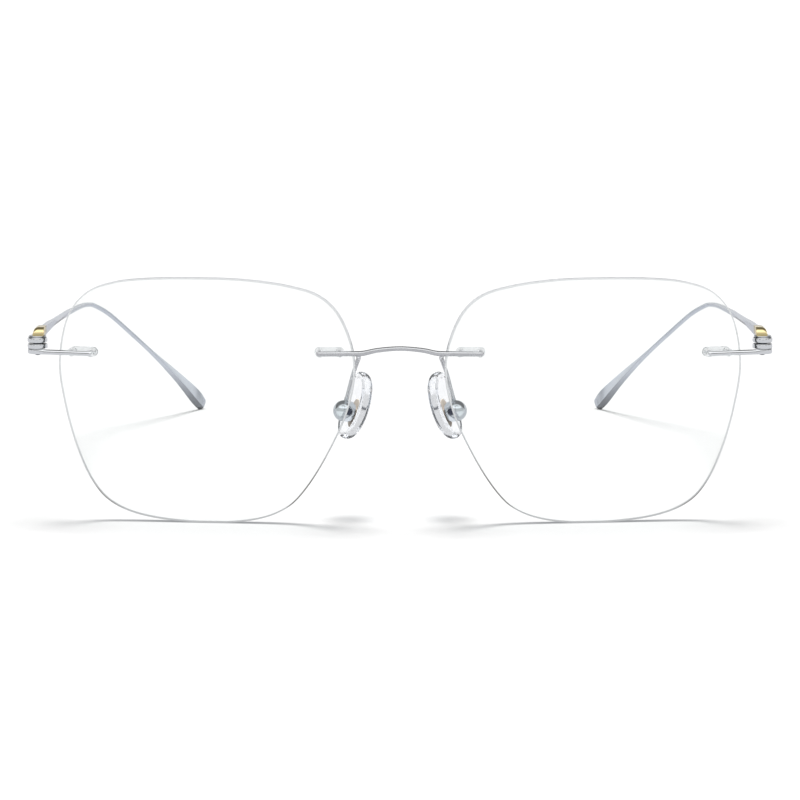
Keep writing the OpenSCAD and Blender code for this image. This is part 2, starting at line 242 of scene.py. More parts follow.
def tube(points, sides, power=None, level=False):
    """Wire through [x, y, z, half thickness, half height] with a section that may change.

    power gives each station's superellipse exponent; 2 is an ellipse. A level tube keeps
    its sections upright where it climbs, so that close turns stay apart."""
    p = np.array(points, float)
    loops = []
    for i in range(len(p)):
        d = unit(p[min(i + 1, len(p) - 1), :3] - p[max(i - 1, 0), :3])
        side = unit(np.cross(d, UP))
        top = UP if level else np.cross(side, d)
        e = 2 / (power[i] if power is not None else 2)
        loop = []
        for k in range(sides):
            a = 2 * math.pi * k / sides
            loop.append(p[i, :3] + p[i, 3] * signed_power(math.cos(a), e) * side
                        + p[i, 4] * signed_power(math.sin(a), e) * top)
        loops.append(loop)
    return loft(loops)


def rod(profile, count, origin, axes, x=0.0):
    """A piece turned about the second of the axes, at x along the first.

    profile is (radius, distance along)."""
    verts, faces = lathe(profile, count)
    verts = [(x + v[0], v[2], v[1]) for v in verts]
    return Shape().add(verts, faces).placed(origin, axes)


def rounded_ends(points, start, end):
    """Adds stations that close the ends with round noses of these lengths."""
    p = [np.array(q, float) for q in points]

    def nose(last, before, length):
        d = unit(last[:3] - before[:3])
        made = []
        for a in (20, 40, 60, 75, 85):
            t = math.radians(a)
            q = last.copy()
            q[:3] = last[:3] + d * length * math.sin(t)
            q[3:] = last[3:] * math.cos(t)
            made.append(q)
        return made

    return np.array(nose(p[0], p[1], start)[::-1] + p + nose(p[-1], p[-2], end))


def finish_mesh(name, shape, side, materials, smooth_angle=40):
    """Object in metres from a left-hand shape, mirrored when side is right."""
    flip = SIDES[side] < 0
    verts = []
    for v in shape.verts:
        x = -v[0] if flip else v[0]
        verts.append((x * MM, (v[1] + SHIFT) * MM, v[2] * MM))
    faces = [f[::-1] if flip else f for f in shape.faces]
    mesh = bpy.data.meshes.new(name)
    mesh.from_pydata(verts, [], faces)
    for m in materials:
        mesh.materials.append(m)
    for poly, s in zip(mesh.polygons, shape.slots):
        poly.material_index = s
    obj = bpy.data.objects.new(name, mesh)
    bpy.context.scene.collection.objects.link(obj)
    cleaned(mesh, smooth_angle)
    return obj


def cleaned(mesh, smooth_angle=40):
    """Merges doubled vertices, turns faces outwards and marks sharp edges."""
    bm = bmesh.new()
    bm.from_mesh(mesh)
    bmesh.ops.remove_doubles(bm, verts=bm.verts, dist=5e-7)
    bmesh.ops.dissolve_degenerate(bm, edges=bm.edges, dist=2e-7)
    bmesh.ops.recalc_face_normals(bm, faces=bm.faces)
    limit = math.radians(smooth_angle)
    for f in bm.faces:
        f.smooth = True
    for e in bm.edges:
        if len(e.link_faces) == 2:
            e.smooth = e.calc_face_angle(0) < limit
    bm.to_mesh(mesh)
    bm.free()


def combined(obj, others, operation, solver):
    """The object after a Boolean operation with each of the others, which are used up."""
    for other in others:
        mod = obj.modifiers.new("combine", "BOOLEAN")
        mod.operation = operation
        mod.solver = solver
        mod.object = other
    dg = bpy.context.evaluated_depsgraph_get()
    mesh = bpy.data.meshes.new_from_object(obj.evaluated_get(dg))
    obj.modifiers.clear()
    obj.data = mesh
    cleaned(mesh)
    for other in others:
        bpy.data.objects.remove(other)
    return obj


def joined(name, objs):
    """One closed mesh from overlapping closed meshes."""
    base = combined(objs[0], objs[1:], "UNION", "EXACT")
    base.data.name = name
    base.name = name
    return base


def cut_from(obj, cutters):
    """The object with the cutters' shapes taken away."""
    return combined(obj, cutters, "DIFFERENCE", "MANIFOLD")


# ---- materials -----------------------------------------------------------------------------


class Nodes:
    """A node tree, with short calls for the nodes used here."""

    def __init__(self, owner):
        owner.use_nodes = True
        self.owner = owner
        self.tree = owner.node_tree
        self.tree.nodes.clear()
        self.coords = self.new("ShaderNodeTexCoord")

    def new(self, kind, **values):
        node = self.tree.nodes.new(kind)
        for key, value in values.items():
            setattr(node, key, value)
        return node

    def link(self, a, b):
        self.tree.links.new(a, b)

    def output(self, kind, surface):
        """Ends the tree with this surface, and returns what it belongs to."""
        self.link(surface, self.new(kind).inputs["Surface"])
        return self.owner

    def noise(self, scale, detail):
        """Noise in object space; scale is in features per metre."""
        node = self.new("ShaderNodeTexNoise")
        node.inputs["Scale"].default_value = scale
        node.inputs["Detail"].default_value = detail
        self.link(self.coords.outputs["Object"], node.inputs["Vector"])
        return node.outputs["Fac"]

    def ramp(self, value, low, high, low_at=0.3, high_at=0.7, curve="LINEAR"):
        """Maps low_at..high_at onto low..high."""
        node = self.new("ShaderNodeMapRange", interpolation_type=curve)
        node.inputs["From Min"].default_value = low_at
        node.inputs["From Max"].default_value = high_at
        node.inputs["To Min"].default_value = low
        node.inputs["To Max"].default_value = high
        self.link(value, node.inputs["Value"])
        return node.outputs["Result"]

    def colours(self, value, first, second, first_at=0.3, second_at=0.7):
        """Blends from the first colour to the second."""
        node = self.new("ShaderNodeValToRGB")
        node.color_ramp.elements[0].position = first_at
        node.color_ramp.elements[0].color = (*first, 1)
        node.color_ramp.elements[1].position = second_at
        node.color_ramp.elements[1].color = (*second, 1)
        self.link(value, node.inputs["Fac"])
        return node.outputs["Color"]

    def maths(self, operation, a, b, clamp=False):
        """A sum with two terms, each a number or another node's output."""
        node = self.new("ShaderNodeMath", operation=operation, use_clamp=clamp)
        for socket, value in zip(node.inputs, (a, b)):
            if isinstance(value, (int, float)):
                socket.default_value = value
            else:
                self.link(value, socket)
        return node.outputs[0]

    def times(self, *terms):
        """The product of all terms."""
        product = terms[0]
        for term in terms[1:]:
            product = self.maths("MULTIPLY", product, term)
        return product

    def scaled(self, colour, factor):
        """A colour made darker or lighter by a factor."""
        node = self.new("ShaderNodeVectorMath", operation="SCALE")
        self.link(colour, node.inputs[0])
        self.link(factor, node.inputs["Scale"])
        return node.outputs[0]

    def axis(self, vector, name):
        """One part, X, Y or Z, of a vector."""
        node = self.new("ShaderNodeSeparateXYZ")
        self.link(vector, node.inputs[0])
        return node.outputs[name]

    def normal(self):
        """The direction that the surface faces."""
        return self.new("ShaderNodeNewGeometry").outputs["Normal"]

    def bump(self, value, depth):
        """Bump of the given depth in millimetres."""
        node = self.new("ShaderNodeBump")
        node.inputs["Distance"].default_value = depth * MM
        node.inputs["Strength"].default_value = 1
        self.link(value, node.inputs["Height"])
        return node.outputs["Normal"]


def with_painted_shade_and_highlight(m, colour, start_y, end_y):
    """The temple's colour with painted shade and a painted highlight: its down-facing faces are
    painted darker on the ridged blade, from start_y to end_y, and at the tip, and a little
    lighter elsewhere; at the tip its up-facing faces get a painted highlight."""
    fade = 0.008
    facing = m.axis(m.normal(), "Z")
    down = m.ramp(facing, 1, 0, -0.32, -0.08)
    up = m.ramp(facing, 0, 1, 0.05, 0.3)
    y = m.axis(m.coords.outputs["Object"], "Y")
    z = m.axis(m.coords.outputs["Object"], "Z")
    blade = m.times(m.ramp(y, 0, 1, start_y, start_y + fade),
                    m.ramp(y, 1, 0, end_y - fade, end_y))
    ridged = m.maths("MAXIMUM", blade, m.ramp(z, 1, 0, 0.002, 0.012))
    # Painted shade: down-facing faces darker on the blade and at the tip, a little lighter
    # elsewhere.
    painted_shade = m.times(down, m.ramp(ridged, -0.18, 0.64, 0, 1))
    # Painted highlight: up-facing faces lighter low down at the tip.
    painted_highlight = m.times(up, m.ramp(z, 0.2, 0, 0.006, 0.016))
    return m.scaled(colour, m.maths("SUBTRACT", m.maths("ADD", 1, painted_highlight), painted_shade))


def with_crevice_shade(m, colour, width):
    """A colour with painted shade: darker in crevices of this width in metres, found by ambient
    occlusion.
    """
    space = m.new("ShaderNodeAmbientOcclusion", samples=8)
    space.inputs["Distance"].default_value = width
    return m.scaled(colour, m.ramp(space.outputs["AO"], 0.1, 1, 0.3, 0.75))


def metal(name, dark, light, rough, grain=0.0, grain_depth=0.0, painted_light_span=None, crevice_shade=None):
    """Metal with cloudy colour, uneven roughness and fine grain.

    facets holds the y values for with_painted_shade_and_highlight, which paints shade and a
    highlight on the temple; grime the width of the crevices that with_crevice_shade paints
    darker as shade."""
    m = Nodes(bpy.data.materials.new(name))
    clouds = m.noise(420, 3)
    fine = m.noise(6000, 5)
    bsdf = m.new("ShaderNodeBsdfPrincipled")
    bsdf.inputs["Metallic"].default_value = 1.0
    colour = m.colours(clouds, dark, light)
    if painted_light_span:
        # Painted shade and highlight on the temple.
        colour = with_painted_shade_and_highlight(m, colour, *painted_light_span)
    if crevice_shade:
        # Painted shade in crevices.
        colour = with_crevice_shade(m, colour, crevice_shade)
    m.link(colour, bsdf.inputs["Base Color"])
    uneven = m.maths("ADD", m.ramp(clouds, *rough), m.ramp(fine, -grain, grain))
    m.link(uneven, bsdf.inputs["Roughness"])
    if grain_depth:
        m.link(m.bump(fine, grain_depth), bsdf.inputs["Normal"])
    return m.output("ShaderNodeOutputMaterial", bsdf.outputs[0])


def painted_corner_shade(m, tint, corner):
    """Painted shade on clear plastic: the tint, but corner's colour where a surface faces half
    sideways and half down.
    """
    normal = m.normal()
    sideways = m.maths("ABSOLUTE", m.axis(normal, "X"), 0)
    downward = m.times(m.axis(normal, "Z"), -1)
    slope = m.maths("ARCTAN2", sideways, downward)
    from_slant = m.maths("ABSOLUTE", m.maths("SUBTRACT", slope, math.radians(45)), 0)
    return m.colours(from_slant, corner, tint, math.radians(8), math.radians(18))


def clear(name, tint, ior, rough, shadow, film=None, bump_depth=0.0, bump_scale=300,
          corner=None):
    """Clear plastic. Light from lamps goes through it, dimmed by shadow.

    film holds the least and most of a white film on it, corner the darker colour that
    painted_corner_shade paints as shade."""
    m = Nodes(bpy.data.materials.new(name))
    glass = m.new("ShaderNodeBsdfGlass")
    glass.inputs["Color"].default_value = (*tint, 1)
    glass.inputs["IOR"].default_value = ior
    # Painted shade where the surface faces half sideways and half down.
    if corner:
        m.link(painted_corner_shade(m, tint, corner), glass.inputs["Color"])
    specks = m.noise(900, 4)
    m.link(m.ramp(specks, *rough), glass.inputs["Roughness"])
    if bump_depth:
        m.link(m.bump(m.noise(bump_scale, 2), bump_depth), glass.inputs["Normal"])
    surface = glass.outputs[0]
    if film:
        white = m.new("ShaderNodeBsdfDiffuse")
        white.inputs["Color"].default_value = (0.82, 0.84, 0.86, 1)
        mix = m.new("ShaderNodeMixShader")
        m.link(m.ramp(specks, *film), mix.inputs["Fac"])
        m.link(surface, mix.inputs[1])
        m.link(white.outputs[0], mix.inputs[2])
        surface = mix.outputs[0]
    path = m.new("ShaderNodeLightPath")
    passing = m.new("ShaderNodeBsdfTransparent")
    passing.inputs["Color"].default_value = (*shadow, 1)
    through = m.new("ShaderNodeMixShader")
    m.link(m.maths("MAXIMUM", path.outputs["Is Shadow Ray"], path.outputs["Is Diffuse Ray"]),
           through.inputs["Fac"])
    m.link(surface, through.inputs[1])
    m.link(passing.outputs[0], through.inputs[2])
    return m.output("ShaderNodeOutputMaterial", through.outputs[0])


def plastic(name, dark, light, rough):
    """Moulded opaque plastic."""
    m = Nodes(bpy.data.materials.new(name))
    bsdf = m.new("ShaderNodeBsdfPrincipled")
    m.link(m.colours(m.noise(700, 3), dark, light), bsdf.inputs["Base Color"])
    m.link(m.ramp(m.noise(2500, 4), *rough), bsdf.inputs["Roughness"])
    m.link(m.bump(m.noise(4000, 4), 0.006), bsdf.inputs["Normal"])
    return m.output("ShaderNodeOutputMaterial", bsdf.outputs[0])


LENS_FACE = clear("lens_face", (0.985, 0.992, 0.99), 1.5, (0.0, 0.01), (0.97, 0.975, 0.975))
# The ground edge gets painted shade at its lower corners, where it faces half sideways and half
# down.
LENS_EDGE = clear("lens_ground_edge", (0.70, 0.71, 0.72), 1.5, (0.15, 0.25),
                  (0.28, 0.29, 0.30), film=(0.02, 0.04), bump_depth=0.001, bump_scale=2500,
                  corner=(0.34, 0.33, 0.32))
LENS_BORE = clear("lens_bore", (0.97, 0.975, 0.98), 1.08, (0.02, 0.06), (0.95, 0.95, 0.95))
PLUG = clear("clear_plug", (0.92, 0.925, 0.93), 1.45, (0.03, 0.08), (0.85, 0.86, 0.87),
             film=(0.02, 0.06), bump_depth=0.002)
SILICONE = clear("clear_silicone", (0.96, 0.965, 0.975), 1.38, (0.02, 0.07),
                 (0.88, 0.89, 0.90), film=(0.01, 0.05), bump_depth=0.006, bump_scale=260)
SATIN = metal("satin_titanium", (0.66, 0.67, 0.69), (0.71, 0.72, 0.74), (0.24, 0.29),
              grain=0.02, grain_depth=0.0002)
# Painted shade in its crevices, such as the slits between the coil's turns.
POLISHED = metal("polished_titanium", (0.86, 0.88, 0.90), (0.90, 0.92, 0.94), (0.08, 0.12),
                 grain=0.01, grain_depth=0.0001, crevice_shade=0.0009)
# Painted shade in its crevices too.
CHROME = metal("polished_cup", (0.66, 0.71, 0.75), (0.72, 0.76, 0.80), (0.04, 0.08),
               grain=0.01, crevice_shade=0.0012)
BLOCK_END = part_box("hinge_block_left")[1].y
# Painted shade and highlight on the temple's blade, between these y values, and at its tip.
TEMPLE = metal("temple_metal", (0.65, 0.69, 0.76), (0.71, 0.75, 0.82), (0.18, 0.24),
               grain=0.02, grain_depth=0.0002, painted_light_span=(BLOCK_END + 0.020, BLOCK_END + 0.048))
GOLD = metal("gold_plate", (0.93, 0.76, 0.38), (0.97, 0.83, 0.48), (0.10, 0.15), grain=0.01,
             grain_depth=0.0001)
# Near black as painted shade: the screw in the cup's counterbore and the hinge pin seen through
# the coil's slits.
NEAR_BLACK_SHADE = metal("small_fittings", (0.06, 0.07, 0.10), (0.10, 0.11, 0.14), (0.16, 0.28),
             grain=0.03)
CORE = plastic("pad_core", (0.52, 0.46, 0.40), (0.60, 0.54, 0.47), (0.3, 0.45))


# ---- lenses --------------------------------------------------------------------------------


def sheet(outline, holes, radius):
    """Triangles over an outline in the lens plane, with round holes left open.

    Returns points (x, y, z) on a sphere of that radius, and the faces."""
    loops = [outline] + [h["loop"] for h in holes]
    points, edges = [], []
    for loop in loops:
        base = len(points)
        points += [(p[0], p[2]) for p in loop]
        edges += [(base + i, base + (i + 1) % len(loop)) for i in range(len(loop))]
    edge_xz = np.array([(p[0], p[2]) for p in outline])
    next_xz = np.roll(edge_xz, -1, 0)
    spacing, row_gap, reach = 1.6, 0.866, 80    # of a triangular grid of points
    rows = int(reach / spacing)
    for i in range(-rows, rows + 1):
        for k in range(-rows, rows + 1):
            x = (i + 0.5 * (k % 2)) * spacing
            z = k * spacing * row_gap
            if not inside(x, z, edge_xz, next_xz):
                continue
            if np.min(np.hypot(edge_xz[:, 0] - x, edge_xz[:, 1] - z)) < spacing * 0.5:
                continue
            if any(math.hypot(x - h["at"][0], z - h["at"][1]) < HOLE_R + 0.5 for h in holes):
                continue
            points.append((x, z))
    made = delaunay_2d_cdt([Vector(p) for p in points], edges, [], 1, 1e-6)
    verts = [(p[0], surface_y(p[0], p[1], radius), p[1]) for p in made[0]]
    edge = HOLE_R + 0.05
    faces = []
    for f in made[2]:
        if not any(all(math.hypot(verts[i][0] - h["at"][0], verts[i][2] - h["at"][1]) < edge
                       for i in f) for h in holes):
            faces.append(list(f))
    return verts, faces


def inside(x, z, a, b):
    """True if the point lies inside the closed outline with corners a, next corners b."""
    crosses = (a[:, 1] > z) != (b[:, 1] > z)
    with np.errstate(divide="ignore", invalid="ignore"):
        at = (b[:, 0] - a[:, 0]) * (z - a[:, 1]) / (b[:, 1] - a[:, 1]) + a[:, 0]
    return bool(np.sum(crosses & (x < at)) % 2)


def surface_y(x, z, radius):
    """Depth of a sphere about the lens's own centre, from the front of the lens."""
    return LENS_R - math.sqrt(radius ** 2 - x * x - z * z)


def lens_holes(radius):
    """The four drilled holes where they meet a sphere about the lens's own centre."""
    count = 40
    holes = []
    for u, v in (NASAL, TEMPORAL):
        a = math.asin(u / LENS_R)
        along, through = (math.cos(a), math.sin(a)), (-math.sin(a), math.cos(a))
        front = surface_y(u, v, LENS_R)
        for s in (-1, 1):
            loop = []
            for k in range(count):
                t = 2 * math.pi * k / count
                reach = s * HOLE_GAP / 2 + HOLE_R * math.cos(t)
                x0, y0 = u + reach * along[0], front + reach * along[1] - LENS_R
                z = v + HOLE_R * math.sin(t)
                half_b = x0 * through[0] + y0 * through[1]
                c = x0 * x0 + y0 * y0 + z * z - radius ** 2
                step = -half_b - math.sqrt(half_b * half_b - c)
                loop.append((x0 + step * through[0],
                             y0 + step * through[1] + LENS_R, z))
            middle = np.mean(np.array(loop), 0)
            holes.append({"loop": loop, "at": (middle[0], middle[2])})
    return holes


def lens_outline(inset=0.0):
    """Outline of a lens in its own plane, moved in by inset."""
    p = closed_curve(LENS_KNOTS, 14)
    tangent = np.roll(p, -1, 0) - np.roll(p, 1, 0)
    tangent /= np.linalg.norm(tangent, axis=1)[:, None]
    inward = np.stack([tangent[:, 1], -tangent[:, 0]], 1)
    p = p + inward * inset
    p[:, 1] = np.maximum(p[:, 1], -LENS_CZ + inset)
    return p


def lens(side):
    """Curved lens with a bevelled edge and four drilled holes."""
    back_r = LENS_R - LENS_T
    full, small = lens_outline(), lens_outline(LENS_BEVEL)
    rim = [
        [(x, surface_y(x, z, LENS_R), z) for x, z in small],
        [(x, surface_y(x, z, LENS_R) + LENS_BEVEL, z) for x, z in full],
        [(x, surface_y(x, z, back_r) - LENS_BEVEL, z) for x, z in full],
        [(x, surface_y(x, z, back_r), z) for x, z in small],
    ]
    shape = Shape()
    front_holes, back_holes = lens_holes(LENS_R), lens_holes(back_r)
    face_slot, edge_slot, bore_slot = 0, 1, 2
    shape.add(*sheet(rim[0], front_holes, LENS_R), face_slot)
    shape.add(*sheet(rim[3], back_holes, back_r), face_slot)
    shape.add(*loft(rim, ends=False), edge_slot)
    for f, b in zip(front_holes, back_holes):
        shape.add(*loft([f["loop"], b["loop"]], ends=False), bore_slot)
    c, s = math.cos(WRAP), math.sin(WRAP)
    axes = np.array([[c, s, 0], [-s, c, 0], [0, 0, 1]])
    shape.placed(np.array([LENS_CX, 0, LENS_CZ]), axes)
    return finish_mesh(f"lens_clear_{side}", shape, side,
                       [LENS_FACE, LENS_EDGE, LENS_BORE], 30)


def bushing(side, name, where):
    """Clear double plug: two tubes in the lens, joined by a plate behind it."""
    straight = HOLE_GAP / 2
    half = PLATE_H / 2
    rounding = 0.09

    def stadium(radius):
        right = arc(straight, 0, radius, -90, 90, 20)
        left = arc(-straight, 0, radius, 90, 270, 20)
        return right + left

    loops = []
    soft = rounding * 0.3
    for inset, back in ((rounding, 0), (soft, soft), (0, rounding), (0, PLATE_T - rounding),
                        (soft, PLATE_T - soft), (rounding, PLATE_T)):
        loops.append([(x, PLATE_Y + back, z) for x, z in stadium(half - inset)])
    origin, axes = lens_axes(*where)
    plate = Shape().add(*loft(loops)).placed(origin, axes)
    parts, bores = [finish_mesh(name, plate, side, [PLUG])], []
    tube_r, tube_start, tube_end = HOLE_R - 0.03, 0.08, PLATE_Y + 0.2
    bore_r, beyond = PIN_R + FIT, 1
    for x in (-straight, straight):
        solid = rod([(tube_r, tube_start), (tube_r, tube_end)], 40, origin, axes, x)
        parts.append(finish_mesh("tube", solid, side, [PLUG]))
        hollow = rod([(bore_r, -beyond), (bore_r, PLATE_Y + PLATE_T + beyond)], 40, origin,
                     axes, x)
        bores.append(finish_mesh("bore", hollow, side, [PLUG]))
    return cut_from(joined(name, parts), bores)


# ---- wires ---------------------------------------------------------------------------------


def pin_shapes(where, front):
    """The two pins of a wire, from front before the lens back through it and its plug."""
    origin, axes = lens_axes(*where)
    end, chamfer = PLATE_Y + PLATE_T, 0.06
    profile = [(PIN_R, -front), (PIN_R, end - chamfer), (PIN_R - chamfer, end)]
    return [rod(profile, 32, origin, axes, s * HOLE_GAP / 2) for s in (-1, 1)]


def bridge():
    """Arched wire in front of the lenses, with its four pins; also its middle's y and z."""
    bow, rise, r = 0.6, 1.1, WIRE_R
    y = lens_point(*NASAL, -WIRE_OFF)[1] - bow
    z = LENS_CZ + NASAL[1]

    def station(along):
        return [*lens_point(*NASAL, -WIRE_OFF, along), r, r]

    half = [
        station(HOLE_GAP / 2 + WIRE_PAST), station(0), station(-3.2),
        [7.1, y + 0.5, z + 0.1, r, r],
        [4.2, y + 0.12, z + rise * 0.68, r, r * 0.92],
        [0, y, z + rise, r, r * 0.88],
    ]
    mirrored = [[-k[0]] + k[1:] for k in half[-2::-1]]
    nose = 0.38
    line = rounded_ends(open_curve(half + mirrored, 10), nose, nose)
    wire = finish_mesh("bridge_wire", Shape().add(*tube(line, 36)), "left", [SATIN])
    pins = [finish_mesh("pin", s, side, [SATIN])
            for side in SIDES for s in pin_shapes(NASAL, WIRE_OFF)]
    return joined("bridge_wire", [wire] + pins), y, z


STRAIGHT_STEPS = 40


def coil_path():
    """The endpiece wire from its end, past the lens and up round the hinge pin."""
    inner_end = -HOLE_GAP / 2 - WIRE_PAST
    line = [(x, -WIRE_OFF, 0) for x in np.linspace(inner_end, COIL_REACH, STRAIGHT_STEPS)]
    turns = ((0.0, COIL_PITCH), (COIL_PITCH, COIL_TOP), (COIL_TOP, COIL_TOP))
    steps = 64
    top_turn = 0.42                    # part of a turn that the wire makes at the top
    climb_start, climb = 0.30, 0.42    # where in each turn it climbs, at the back
    last = 2 * steps + int(steps * top_turn)
    for i in range(1, last + 1):
        turn, part = divmod(i, steps)
        low, high = turns[min(turn, 2)]
        t = min(max((part / steps - climb_start) / climb, 0), 1)
        z = low + (high - low) * t * t * (3 - 2 * t)
        a = -math.pi / 2 + 2 * math.pi * i / steps
        line.append((COIL_REACH + COIL_R * math.cos(a),
                     COIL_R - WIRE_OFF + COIL_R * math.sin(a), z))
    return np.array(line)


def endpiece(side):
    """Wire with two pins, round in front of the lens and flattened in its coil."""
    path = coil_path()
    flattening = 2.0
    coiled = np.clip((path[:, 0] - COIL_REACH) / flattening + 1, 0, 1)
    coiled[STRAIGHT_STEPS:] = 1
    thick = WIRE_R + (COIL_WIRE - WIRE_R) * coiled
    half = np.interp(path[:, 2], (COIL_PITCH, COIL_TOP), (COIL_HALF, COIL_TOP_HALF))
    high = WIRE_R + (half - WIRE_R) * coiled
    stations = rounded_ends(np.column_stack([path, thick, high]), 0.4, 0.1)
    ends = (len(stations) - len(coiled)) // 2
    coiled = np.concatenate([np.zeros(ends), coiled, np.ones(ends)])
    low = np.interp(stations[:, 2], (COIL_PITCH, COIL_TOP), (1, 0))
    power = 2 + coiled * (1.5 + 2.5 * low)
    origin, axes = lens_axes(*TEMPORAL)
    wire = Shape().add(*tube(stations, 36, power=power, level=True)).placed(origin, axes)
    objs = [finish_mesh(f"endpiece_wire_{side}", wire, side, [POLISHED])]
    objs += [finish_mesh("pin", s, side, [POLISHED]) for s in pin_shapes(TEMPORAL, 0.5)]
    return joined(f"endpiece_wire_{side}", objs)


def turned(name, side, profile, at, material, ring=False):
    """A piece turned about an upright axis; profile is (radius, world z)."""
    verts, faces = lathe(profile, ring=ring)
    verts = [(v[0] + at[0], v[1] + at[1], v[2]) for v in verts]
    return finish_mesh(f"{name}_{side}", Shape().add(verts, faces), side, [material], 50)


WASHER_Z = (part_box("hinge_washer_left")[0].z / MM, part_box("hinge_washer_left")[1].z / MM)
BLOCK = [np.array(c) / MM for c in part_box("hinge_block_left")]
BLOCK[0][1] -= SHIFT
BLOCK[1][1] -= SHIFT


def hinge_parts(side):
    """Washer with a coned shoulder, and the pin that goes down through the coil."""
    z0, z1 = WASHER_Z
    bevel = 0.05
    shoulder = (z1 - z0) * 0.6
    inner, outer = HINGE_PIN_R + FIT, 1.74
    washer = turned("washer_disc", side, [
        (inner, z0), (outer - bevel, z0), (outer, z0 + bevel), (outer, z1 - shoulder),
        (outer - shoulder, z1), (inner, z1)], HINGE, POLISHED, ring=True)
    low = HINGE[2] - WIRE_R - 0.05
    top = BLOCK[0][2] + PIN_IN_BLOCK
    # The pin's near-black colour is painted shade for the slits of the coil.
    pin = turned("pivot_pin", side, [
        (0.18, low - 0.3), (0.42, low - 0.26), (0.56, low - 0.06), (HINGE_PIN_R, low),
        (HINGE_PIN_R, top - 0.05), (HINGE_PIN_R - 0.05, top)], HINGE, NEAR_BLACK_SHADE)
    return washer, pin


def block(side):
    """Gold end block: a short bar with a rounded outer top and a groove down its inner side."""
    lo, hi = BLOCK
    w, top = hi[0] - lo[0], hi[2] - lo[2]
    edge, round_r, brow, flat = 0.10, 1.0, 1.35, 0.03
    length = hi[1] - lo[1]

    def section(h):
        corner = min(round_r, h - 0.2)
        return (arc(edge, edge, edge, 270, 180, 4)
                + arc(edge, h - edge, edge, 180, 90, 4)
                + arc(w - corner, h - corner, corner, 90, 0, 14)
                + arc(w - edge, edge, edge, 0, -90, 4))

    # how far the section is shrunk, its place and its height
    rows = [(edge, 0, top - brow)]
    for a in range(0, 91, 6):
        t = math.radians(a)
        rows.append((0, flat + (brow - flat) * (1 - math.cos(t)),
                     top - brow * (1 - math.sin(t))))
    rows += [(0, length - edge, top), (edge * 0.3, length - edge * 0.3, top),
             (edge, length, top)]
    loops = []
    for shrink, y, h in rows:
        centre = np.array([w / 2, h / 2])
        loop = []
        for p in section(h):
            q = centre + (np.array(p) - centre) * (1 - shrink / centre)
            loop.append((lo[0] + q[0], lo[1] + y, lo[2] + q[1]))
        loops.append(loop)
    body = finish_mesh(f"hinge_block_gold_{side}", Shape().add(*loft(loops)), side, [GOLD], 35)
    beyond, depth, half_width, groove_y = 1, 0.42, 0.26, lo[1] + 1.42
    outline = [(lo[0] - beyond, groove_y + half_width), (lo[0] + depth, groove_y),
               (lo[0] - beyond, groove_y - half_width)]
    loops = [[(x, y, z) for x, y in outline] for z in (lo[2] - beyond, hi[2] + beyond)]
    groove = finish_mesh("groove", Shape().add(*loft(loops)), side, [GOLD])
    bore_r = HINGE_PIN_R + FIT
    bore = turned("bore", side, [(bore_r, lo[2] - beyond),
                                 (bore_r, lo[2] + PIN_IN_BLOCK + 0.05)], HINGE, GOLD)
    return cut_from(body, [groove, bore])


def temple(side):
    """Blade at the hinge, round wire over the ear, ridged paddle at the tip."""
    bx = (BLOCK[0][0] + BLOCK[1][0]) / 2
    bz = BLOCK[0][2]
    by = BLOCK[1][1] + FIT
    bend_y = HINGE[1] + 92
    tip_x, bend, half = 47.9, 0.5, 1.62
    paddle_z = 20          # below this the wire spreads into the tip
    cap, bluntness = 1.3, 0.36
    # x, y, z, half thickness, half height, squareness, ridge from 0 to 1
    knots = [
        [bx + 0.35, by, bz - 0.2, 0.5, 1.25, 5, 0],
        [bx + 0.75, by + 10, bz - 0.8, 0.52, 1.02, 5, 0],
        [bx + 1.2, by + 21, bz - 1.36, 0.54, 0.88, 4.2, 0.1],
        [bx + 1.3, by + 34, bz - 1.97, 0.55, 0.82, 3.4, 1],
        [bx + 1.3, by + 50, bz - 2.75, 0.55, 0.68, 2.4, 0.1],
        [bx + 1.3, bend_y - 14, bz - 4.4, 0.52, 0.54, 2, 0],
        [bx + 1.15, bend_y, bz - 5.8, bend, bend, 2, 0],
        [tip_x + 21.6, bend_y + 5, 28.9, bend, bend, 2, 0],
        [tip_x + 18.9, bend_y + 9.8, 26.3, bend, bend, 2, 0],
        [tip_x + 14.5, bend_y + 15.6, 21, bend, bend, 2, 0],
        [tip_x + 9.9, bend_y + 21.7, 15.2, bend + 0.02, bend + 0.12, 2, 0.3],
        [tip_x + 5.3, bend_y + 28.1, 9.1, bend + 0.08, half * 0.74, 2, 0.8],
        [tip_x + 1.7, bend_y + 33.4, 3.8, bend + 0.12, half * 1.15, 2, 1],
        [tip_x + 0.2, bend_y + 35.2, 1.5, bend + 0.1, half, 2, 1],
    ]
    line = list(open_curve(knots, 14))
    last = line[-1]
    onward = unit(last[:3] - line[-2][:3])
    for a in (15, 30, 45, 58, 70, 80):
        t = math.radians(a)
        s = last.copy()
        s[:3] += onward * cap * math.sin(t)
        s[3:5] *= math.cos(t) ** bluntness
        line.append(s)
    loops = []
    for i, s in enumerate(line):
        d = unit(line[min(i + 1, len(line) - 1)][:3] - line[max(i - 1, 0)][:3])
        out = unit(np.cross(d, UP))
        up = np.cross(out, d)
        ridge = min(max(s[6], 0), 1)
        low = 0.3 if s[2] < paddle_z else 0.0
        loops.append([s[:3] + a * out + b * up
                      for a, b in ridged_oval(s[3], s[4], max(s[5], 2), ridge, low)])
    end_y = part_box("temple_left")[1].y / MM - SHIFT
    loops = [[(x, min(y, end_y), max(z, 0.0)) for x, y, z in loop] for loop in loops]
    blade = Shape().add(*loft(loops))
    return finish_mesh(f"temple_wire_{side}", blade, side, [TEMPLE], 28)


